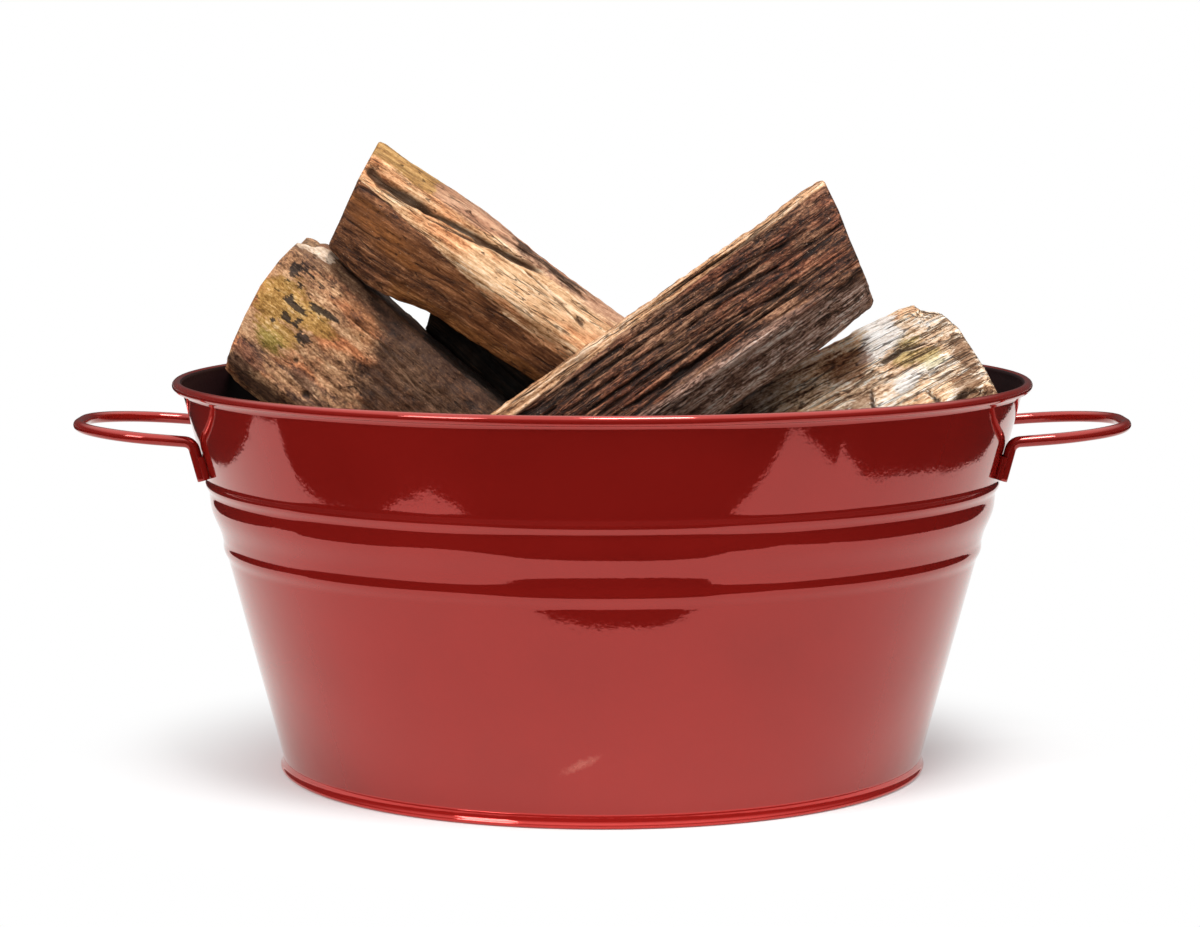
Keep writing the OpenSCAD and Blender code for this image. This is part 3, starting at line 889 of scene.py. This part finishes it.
RIGHT_LOG = log_look(
    "right_log", angle=28.5, lean=1, slot="wood_straw", seed=200, corner=5, columns=380, groove_mm=8,
    groove_deep=1.3, groove_dark=0.75, swell=1.5, lumps=1.6, grain_mm=0.8, front_depth=52, relief=1.2,
    warmth=0.35, weights=(1.8, 1.4, 0.9, 1.1, 1.6), cracked=0.74, specks=0.9,
    top_end=[(0, 349), (12, 352), (23, 356), (40, 357), (63, 356), (73, 352), (80, 342)],
    shades=[(96, 62, 42), (190, 149, 114), (231, 198, 165), (246, 227, 206), (254, 249, 243)],
    end_shades=[(84, 60, 42), (150, 118, 88), (196, 164, 130)],
    tints=[(196, 140, 96), (58, 36, 22), (240, 226, 206)], flecks=0.4,
    cracks=[
        crack([(311, 65), (324, 66), (340, 63)], 1.2, 3, dark=1.4),
        crack([(325, 43), (327, 37), (327, 30)], 1.1, 2.8, dark=1.4),
        crack([(300, 56), (297, 48), (295, 39)], 1.1, 2.8, dark=1.4),
        crack([(319, 33), (331, 31), (344, 34)], 1.1, 2.8, dark=1.4),
        crack([(210, 54), (290, 57)], 0.8, 1.6),
    ],
    chips=[(347, 78, 7, 5, 3), (342, 28, 10, 5, 2.5)],
    bulges=[(TOP, 312, 90, 7), (TOP, 250, 55, 4.5)],
    marks=[
        mark("bleached", 0.9, [(214, 196, 180), (244, 238, 232), (255, 254, 252)],
             [(319, 75, 11, 6), (318, 51, 6, 3), (309, 70, 7, 3), (334, 52, 4, 1.5)], soft=0.6),
        mark("shaded", 0.9, [(22, 13, 8), (56, 36, 25), (96, 68, 50), (140, 108, 82)],
             where=lambda at: at.along - (220 + (at.up - 30) * 0.5 + at.depth * 0.4), ragged=26, soft=18,
             depth=ALL_ROUND),
        mark("rust", 0.8, [(84, 46, 26), (150, 96, 60), (196, 144, 100)], [(296, 70, 12, 7)], ragged=8,
             soft=1.5),
        mark("moss", 0.6, [(124, 106, 52), (190, 172, 98), (230, 218, 154)],
             [(324, 63, 5, 3), (336, 56, 5, 3.5), (330, 68, 4, 2)]),
        mark("brown", 0.8, [(70, 42, 26), (130, 90, 60), (190, 150, 112)],
             [(338, 22, 18, 9), (344, 36, 9, 6), (352, 50, 4, 12), (291, 48, 9, 8)], soft=1.5),
    ],
)

LEFT_LOG = log_look(
    "left_log", angle=40.5, lean=-1, slot="wood_olive", seed=300, corner=5, columns=380, groove_mm=12,
    groove_deep=0.4, groove_dark=0.3, swell=1.5, lumps=1.8, grain_mm=1.1, front_depth=60, relief=1,
    warmth=0.5, weights=(0.9, 0.5, 1.2, 1.5, 1.7), cracked=0.35, specks=0.8, split=0.5,
    top_end=[(0, 306), (12, 311), (30, 316), (48, 320), (65, 321), (80, 320), (86, 311)],
    shades=[(54, 33, 22), (112, 75, 52), (162, 117, 83), (200, 152, 111), (230, 189, 148)],
    end_shades=[(70, 48, 34), (130, 98, 72), (176, 142, 108)],
    tints=[(196, 128, 78), (34, 20, 13), (196, 156, 124)], flecks=0.4,
    cracks=[
        crack([(262, 20), (266, 18)], 1.6, 1.8),
        crack([(278, 30), (281, 29)], 1.5, 1.6),
        crack([(215, 60), (250, 66), (290, 66)], 0.8, 1.2, dark=0.6),
    ],
    chips=[(316, 82, 8, 6, 2)],
    bulges=[(UNDER, 290, 60, 4)],
    marks=[
        mark("lichen", 0.85, [(104, 70, 36), (160, 116, 54), (200, 156, 84), (230, 200, 150)],
             [(306, 50, 14, 14), (290, 52, 16, 9), (298, 34, 14, 9)], ragged=15, soft=2.5),
        mark("green", 0.6, [(90, 84, 34), (140, 130, 58), (176, 164, 92)], [(298, 30, 10, 5)]),
        mark("char", 0.9, [(30, 24, 22), (48, 40, 36), (70, 60, 52)],
             [(311, 64, 2.5, 6), (304, 62, 3, 2), (303, 54, 2, 4), (297, 52, 6, 3), (292, 47, 2.5, 4),
              (299, 44, 3, 2), (288, 58, 6, 2.5), (281, 60, 5, 2), (284, 42, 4.5, 3), (303, 38, 2, 2),
              (296, 70, 9, 1.5)], soft=0.5),
        # Painted shadow of the upper log over this log's lower, right-hand part
        mark("upper_log_shadow", 0.92, [(42, 25, 16), (66, 44, 31), (86, 59, 43), (114, 81, 60)],
             where=lambda at: at.along - 228 - at.up * 0.45 - np.maximum(0, at.up - 70), ragged=28,
             soft=11, depth=ALL_ROUND),
        mark("sooty", 0.7, [(40, 26, 20), (70, 48, 38), (104, 74, 56)], where=lambda at: at.below - 12,
             ragged=10, soft=3),
        mark("purple", 0.65, [(44, 28, 26), (84, 58, 50), (128, 94, 78)],
             [(300, 14, 12, 8), (284, 6, 14, 5), (268, 24, 14, 6), (256, 12, 12, 8)], ragged=12),
        mark("rusty", 0.7, [(98, 56, 34), (150, 98, 62), (206, 152, 104)],
             [(262, 62, 9, 5), (270, 72, 12, 4)]),
        mark("chunk", 1, [(150, 118, 92), (206, 178, 152), (238, 220, 200)],
             where=lambda at: np.maximum(79.5 - at.up, 298 - at.along), ragged=7, soft=0.6, depth=24),
        # Painted shade: the top face darkened to brown, and near black towards the low end
        mark("top_face_brown_shade", 1, [(56, 38, 28), (92, 64, 48), (132, 96, 74)],
             where=lambda at: np.maximum(at.below - 3.5, at.along - 294), ragged=3, soft=0.8,
             depth=ALL_ROUND),
        mark("top_face_dark_shade", 1, [(16, 10, 7), (40, 27, 20), (70, 50, 38)],
             where=lambda at: np.maximum(at.below - 3.5, at.along - 236), ragged=3, soft=0.8,
             depth=ALL_ROUND),
    ],
)

UPPER_LOG = log_look(
    "upper_log", angle=33, lean=-1, slot="wood_tan", seed=400, corner=3.5, columns=360, groove_mm=9,
    groove_deep=0.9, groove_dark=0.55, swell=1, lumps=1, grain_mm=0.6, front_depth=48, relief=0.8,
    warmth=0.35, weights=(1.6, 1.2, 0.8, 0.9, 1), cracked=0.6, specks=0.85,
    top_end=[(0, 368), (3, 368.5), (17, 370), (32, 372), (50, 374), (65, 375.5)],
    shades=[(88, 52, 28), (154, 107, 68), (202, 156, 113), (230, 191, 150), (249, 223, 191)],
    end_shades=[(20, 13, 8), (48, 33, 22), (84, 61, 42)],
    tints=[(196, 132, 78), (52, 27, 12), (250, 225, 195)], flecks=0.2,
    cracks=[
        crack([(373, 51), (362, 48.5), (352, 48), (327, 49)], 2.4, 4.4, dark=1.5),
        crack([(340, 48.4), (327, 49), (296, 50.5), (262, 54)], 1.6, 3.6, dark=1.3),
        crack([(362, 45), (330, 45), (296, 48)], 0.6, 1.6),
        crack([(275, 50), (250, 46), (226, 41)], 0.5, 1.2, dark=0.7),
        crack([(300, 58), (262, 58), (232, 54)], 0.5, 1.2, dark=0.7),
        crack([(236, 44), (231, 43)], 1.4, 2.2),
    ],
    bulges=[(UNDER, 337, 34, 5.2), (TOP, 312, 40, 2)],
    marks=[
        mark("shade", 1, [(34, 18, 10), (82, 47, 27), (132, 84, 53), (196, 138, 94)],
             where=lambda at: at.up - np.interp(at.along, [229, 273, 324, 371], [20, 24, 35, 43]),
             ragged=2, soft=0.5, depth=ALL_ROUND),
        mark("ruddy", 0.75, [(84, 46, 22), (136, 84, 50), (186, 126, 82)],
             [(338, 26, 22, 5), (305, 22, 26, 7), (262, 12, 24, 5)], ragged=8, soft=1.5),
        mark("golden", 0.7, [(80, 44, 18), (132, 80, 38), (180, 122, 66)],
             where=lambda at: np.maximum(at.up - 7, at.along - 330), ragged=8, soft=2.5),
        mark("creamy", 0.75, [(150, 104, 66), (216, 171, 126), (244, 209, 170), (254, 237, 212)],
             [(274, 40, 22, 7), (238, 45, 18, 5)], ragged=10, soft=4),
        mark("amber", 0.8, [(96, 54, 24), (160, 98, 50), (206, 142, 84)],
             [(362, 32, 7, 1.5), (348, 25, 11, 3), (331, 19, 13, 2.5)], ragged=7, soft=2.5),
        mark("strip", 1, [(106, 70, 32), (172, 128, 74), (212, 170, 112)],
             where=lambda at: at.below - 7 + np.maximum(0, 335 - at.along) * 0.4, ragged=5, soft=1),
        mark("pinkish", 0.8, [(120, 80, 60), (178, 130, 104), (214, 170, 140)],
             where=lambda at: np.maximum(at.below - 7, at.along - 335), ragged=7, soft=1.5),
        mark("char", 0.85, [(22, 14, 10), (44, 28, 19), (80, 54, 38)],
             where=lambda at: np.maximum(at.below - 6, patch_distance(at.along, at.depth, [
                 (279, 22, 8, 9), (264, 20, 14, 7), (250, 19, 10, 7)])), soft=2.4, depth=ALL_ROUND),
        # Painted shade: the low end, deep among the other logs, darkened
        mark("low_end_shade", 0.8, [(58, 36, 22), (104, 72, 48), (150, 110, 78), (196, 156, 118)],
             where=lambda at: at.along - 70, ragged=26, soft=26, depth=ALL_ROUND),
    ],
)

# Painted shade: the front of this log, deep in the pile, and its sawn ends are near black
INNER_LOG = log_look(
    "inner_log", angle=40.5, lean=-1, slot="wood_black", seed=500, corner=3, columns=240, groove_mm=8,
    groove_deep=1.4, groove_dark=1, swell=0.8, lumps=1, grain_mm=0.6, front_depth=30, relief=0.8, warmth=0.3,
    weights=(1.4, 1.5, 1, 0.8, 0.8), cracked=0.6, specks=0.5, top_end=[(0, 212), (22, 224), (44, 236)],
    shades=[(8, 5, 3), (20, 13, 8), (40, 27, 18), (70, 50, 35)],
    end_shades=[(20, 13, 8), (44, 30, 20), (70, 50, 36)], tints=[(90, 60, 40), (5, 3, 2), (90, 70, 52)],
    flecks=0.2,
    bulges=[(UNDER, 112, 400, 4.5)],
    marks=[
        mark("worn", 1, [(30, 20, 13), (60, 42, 28), (90, 66, 46)], [(150, 40, 60, 6)], ragged=10,
             soft=1),
        # Its back, out of the painted shade, in the wood's brown
        mark("unshaded_back", 1, [(44, 29, 20), (88, 61, 43), (134, 100, 73)], where=lambda at: 14 - at.depth,
             depth=ALL_ROUND),
    ],
)


# ---------------- studio

# Outline, in millimetres, of the white paper that the tub stands on, as its enamel mirrors it.
# Beyond it the studio is dark. It runs from the left, in front of the tub, round to the right.
PAPER = [(-560, 4000), (-584, 650), (-600, 300), (-628, 120), (-652, 60), (-608, -46), (-556, -64),
         (-508, -86), (-456, -135), (-407, -199), (-356, -258), (-332, -306), (-292, -352), (-233, -368),
         (-190, -362), (-93, -325), (-40, -323), (24, -322), (77, -316), (130, -318), (201, -370),
         (280, -373), (355, -386), (374, -368), (384, -339), (394, -314), (404, -283), (432, -280),
         (438, -240), (443, -207), (497, -111), (540, 3), (578, 173), (619, 409), (678, 620), (800, 4000)]
CARD_Z = 1.5
CARD_REACH = 12.0
FLOOR_SIZE = 40.0
WHITE = (1, 1, 1, 1)
CARD_DARK = (0.02, 0.02, 0.02, 1)
# Distances from the tub's middle between which the floor turns white, as seen and as mirrored
SEEN_WHITE = (0.12, 0.31)
MIRRORED_WHITE = (0.12, 0.3)
# Light of the surroundings, and of the dark low part and the pale ceiling that the enamel mirrors
WORLD_LIGHT = 0.62
MIRRORED_LOW = 0.08
MIRRORED_CEILING = 1.6
CEILING_FROM = (0.3, 0.85)


def stage_mesh(name, points, faces, material):
    made = new_object(name, points, faces, material)
    return made


def build_surround():
    """Dark surround of the paper, which only the glossy enamel sees."""
    inner = [(x * MM, y * MM, CARD_Z * MM) for x, y in PAPER]
    outer = []
    for x, y, z in inner:
        grow = CARD_REACH / math.hypot(x, y)
        outer.append((x * grow, y * grow, z))
    count = len(inner)
    faces = [(i, i + 1, count + i + 1, count + i) for i in range(count - 1)]
    made = Material("card_dark")
    made.show(made.node("Emission", {"Color": CARD_DARK, "Strength": 1.0}))
    card = stage_mesh("surround", inner + outer, faces, made.data)
    for rays in ("camera", "diffuse", "transmission", "shadow", "volume_scatter"):
        setattr(card, "visible_" + rays, False)


def seen_rays(made):
    """Light paths, and 1 on a ray that comes straight or through something clear from the camera."""
    rays = made.tree.nodes.new("ShaderNodeLightPath").outputs
    return rays, made.math("MAXIMUM", rays["Is Camera Ray"], rays["Is Transmission Ray"])


def floor_material():
    """Pale floor that keeps the shadow near the tub and turns to plain white further out."""
    made = Material("studio_floor")
    place = made.node("TexCoord", output="Object")
    rays, seen = seen_rays(made)
    paper = made.noise(place, 3.0, detail=2.0)
    made.surface(Base_Color=made.ramp(paper, [(0.3, (0.86, 0.86, 0.86, 1)), (0.7, (0.9, 0.9, 0.9, 1))]))
    made.surface(Roughness=0.9, Specular_IOR_Level=0.0)
    away = made.length(place)
    share = made.math("MAXIMUM", made.times(made.band(away, *SEEN_WHITE), seen),
                      made.times(made.band(away, *MIRRORED_WHITE), rays["Is Glossy Ray"]))
    white = made.node("Emission", {"Color": WHITE, "Strength": 1.0})
    made.show(made.node("MixShader", {0: share, 1: made.bsdf.outputs[0], 2: white}))
    return made.data


def add_world():
    """White surroundings. The glossy enamel mirrors a dark studio under a pale ceiling."""
    world = bpy.data.worlds.new("studio_world")
    world.use_nodes = True
    made = Nodes(world.node_tree)
    rays, seen = seen_rays(made)
    height = made.node("SeparateXYZ", {0: made.node("TexCoord", output="Generated")}, output="Z")
    low, high = CEILING_FROM
    mirrored = made.node("MapRange", {0: height, 1: low, 2: high, 3: MIRRORED_LOW, 4: MIRRORED_CEILING},
                         interpolation_type="SMOOTHSTEP")
    level = made.node("MapRange", {0: rays["Is Glossy Ray"], 3: WORLD_LIGHT, 4: mirrored})
    ground = made.tree.nodes["Background"]
    made.put(ground.inputs["Color"], WHITE)
    made.put(ground.inputs["Strength"], made.math("MAXIMUM", seen, level))
    bpy.context.scene.world = world


def add_lamp(name, place, target, side, power):
    """A square lamp at `place` that shines at `target`."""
    data = bpy.data.lights.new(name, "AREA")
    data.shape = "RECTANGLE"
    data.size = data.size_y = side
    data.energy = power
    lamp = add_object(name, data)
    lamp.location = place
    aim = add_object(name + "_aim", None)
    aim.location = target
    watch = lamp.constraints.new("TRACK_TO")
    watch.target = aim
    watch.track_axis = "TRACK_NEGATIVE_Z"
    watch.up_axis = "UP_Y"


def build_studio():
    half = FLOOR_SIZE / 2
    corners = [(-half, -half, 0), (half, -half, 0), (half, half, 0), (-half, half, 0)]
    stage_mesh("floor", corners, [(0, 1, 2, 3)], floor_material())
    build_surround()
    add_world()
    add_lamp("key", (0.25, -0.9, 2.1), (0, 0, 0.2), 0.7, 42)
    add_lamp("fill", (-1.3, -1.4, 1.2), (0, 0, 0.15), 0.7, 14)


# ---------------- build

def paint_node(node, slot):
    """Shows a CAD node as it is, in the slot's material."""
    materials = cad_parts[node].data.materials
    materials.clear()
    materials.append(MATERIALS[slot])


bpy.context.scene.view_settings.view_transform = "Standard"
add_camera()
build_studio()

enamel_material("enamel_red", RED, DEEP_RED, metallic=0.5, gloss=1.0, outside=True)
enamel_material("enamel_dark", DARK, DEEP_DARK, metallic=0.0, gloss=0.08)
steel_material("wire_steel")
build_wall()
build_foot()
build_floor()
paint_node("rim_wire", "wire_steel")
for handle, side in (("left_handle", -1), ("right_handle", 1)):
    build_handle(handle, side)
    paint_node(handle + "_welds", "enamel_red")
for look in (FRONT_LOG, RIGHT_LOG, LEFT_LOG, UPPER_LOG, INNER_LOG):
    build_log(look)
